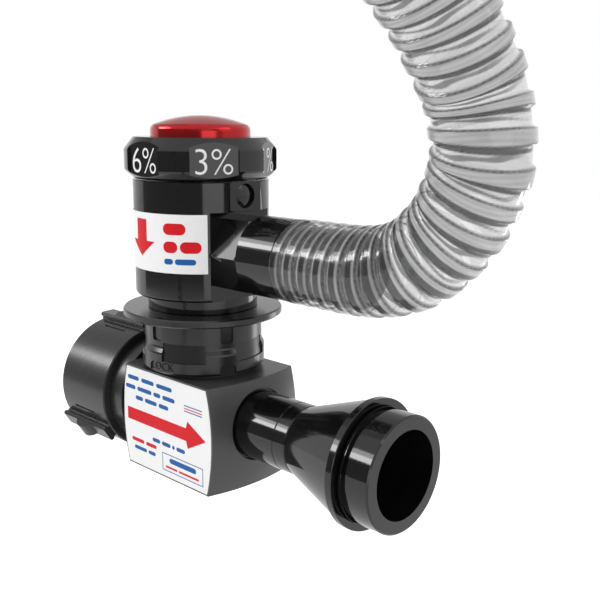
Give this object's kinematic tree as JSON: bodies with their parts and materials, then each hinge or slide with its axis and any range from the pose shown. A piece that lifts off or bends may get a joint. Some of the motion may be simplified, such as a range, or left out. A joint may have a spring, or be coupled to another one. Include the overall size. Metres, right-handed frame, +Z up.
{
  "type": "jet eductor",
  "caption": "In-line jet eductor: swivel hose coupling, block body with a venturi discharge tube, swivelling metering head with a percentage knob and flush button, clear pick-up hose and wand.",
  "frame": {"origin": "centre of the inlet mouth on the flow axis", "axes": "+X along the flow, towards the discharge; +Z up along the metering head"},
  "size_m": [0.2557, 0.3534, 0.716],
  "materials": {
    "body_black": "hard anodised black, satin gloss",
    "coupling_black": "hard anodised black, satin",
    "collar_black": "moulded black, fine grain",
    "head_black": "hard anodised black, satin",
    "knob_black": "hard anodised black, satin",
    "button_red": "gloss red anodised",
    "label_white": "white label film",
    "hose_clear": "clear plastic with a rigid helix",
    "wand_black": "extruded black plastic",
    "seal_rubber": "moulded rubber",
    "bright_steel": "stainless steel",
    "jet_brass": "turned brass"
  },
  "bodies": {
    "body": {"eductor_body": "body_black", "inlet_neck": "body_black", "jet_nozzle": "jet_brass", "nozzle_o_ring": "seal_rubber", "diffuser": "body_black", "diffuser_o_ring": "seal_rubber", "body_label": "label_white", "swivel_balls": "bright_steel", "lock_keepers": "bright_steel"},
    "coupling": {"swivel_coupling": "coupling_black", "inlet_gasket": "seal_rubber", "ball_plug": "body_black"},
    "collar": {"lock_collar": "collar_black"},
    "head": {"metering_head": "head_black", "stem_o_rings": "seal_rubber", "ball_stop_pin": "bright_steel", "head_label": "label_white", "hose_nipple": "head_black", "detent_plug": "head_black", "detent_spring": "bright_steel", "detent_ball": "bright_steel", "pickup_hose": "hose_clear", "pickup_wand": "wand_black"},
    "knob": {"metering_knob": "knob_black", "knob_screws": "bright_steel", "metering_spindle": "bright_steel", "metering_disc": "jet_brass", "spindle_o_ring": "seal_rubber", "button_spring": "bright_steel"},
    "button": {"flush_button": "button_red", "button_stem": "bright_steel", "flush_poppet": "seal_rubber"},
    "check_ball": {"check_ball": "bright_steel"}
  },
  "joints": [
    {"name": "coupling_swivel", "type": "hinge", "parent": "body", "child": "coupling", "pos_m": [0.02, 0, 0], "axis": [1, 0, 0], "continuous": true},
    {"name": "collar_turn", "type": "hinge", "parent": "body", "child": "collar", "pos_m": [0.0811, 0, 0.04], "axis": [0, 0, 1], "range_deg": [0, 45]},
    {"name": "head_swivel", "type": "hinge", "parent": "body", "child": "head", "pos_m": [0.0811, 0, 0.04], "axis": [0, 0, 1], "continuous": true},
    {"name": "knob_turn", "type": "hinge", "parent": "head", "child": "knob", "pos_m": [0.0811, 0, 0.12], "axis": [0, 0, 1], "range_deg": [-60, 240]},
    {"name": "button_press", "type": "slide", "parent": "knob", "child": "button", "axis": [0, 0, -1], "range_m": [0, 0.005], "stiffness_N_per_m": 800, "springref_m": -0.004, "deforming": ["button_spring"]},
    {"name": "check_ball_lift", "type": "slide", "parent": "head", "child": "check_ball", "axis": [0, 0, 1], "range_m": [0, 0.005]}
  ]
}
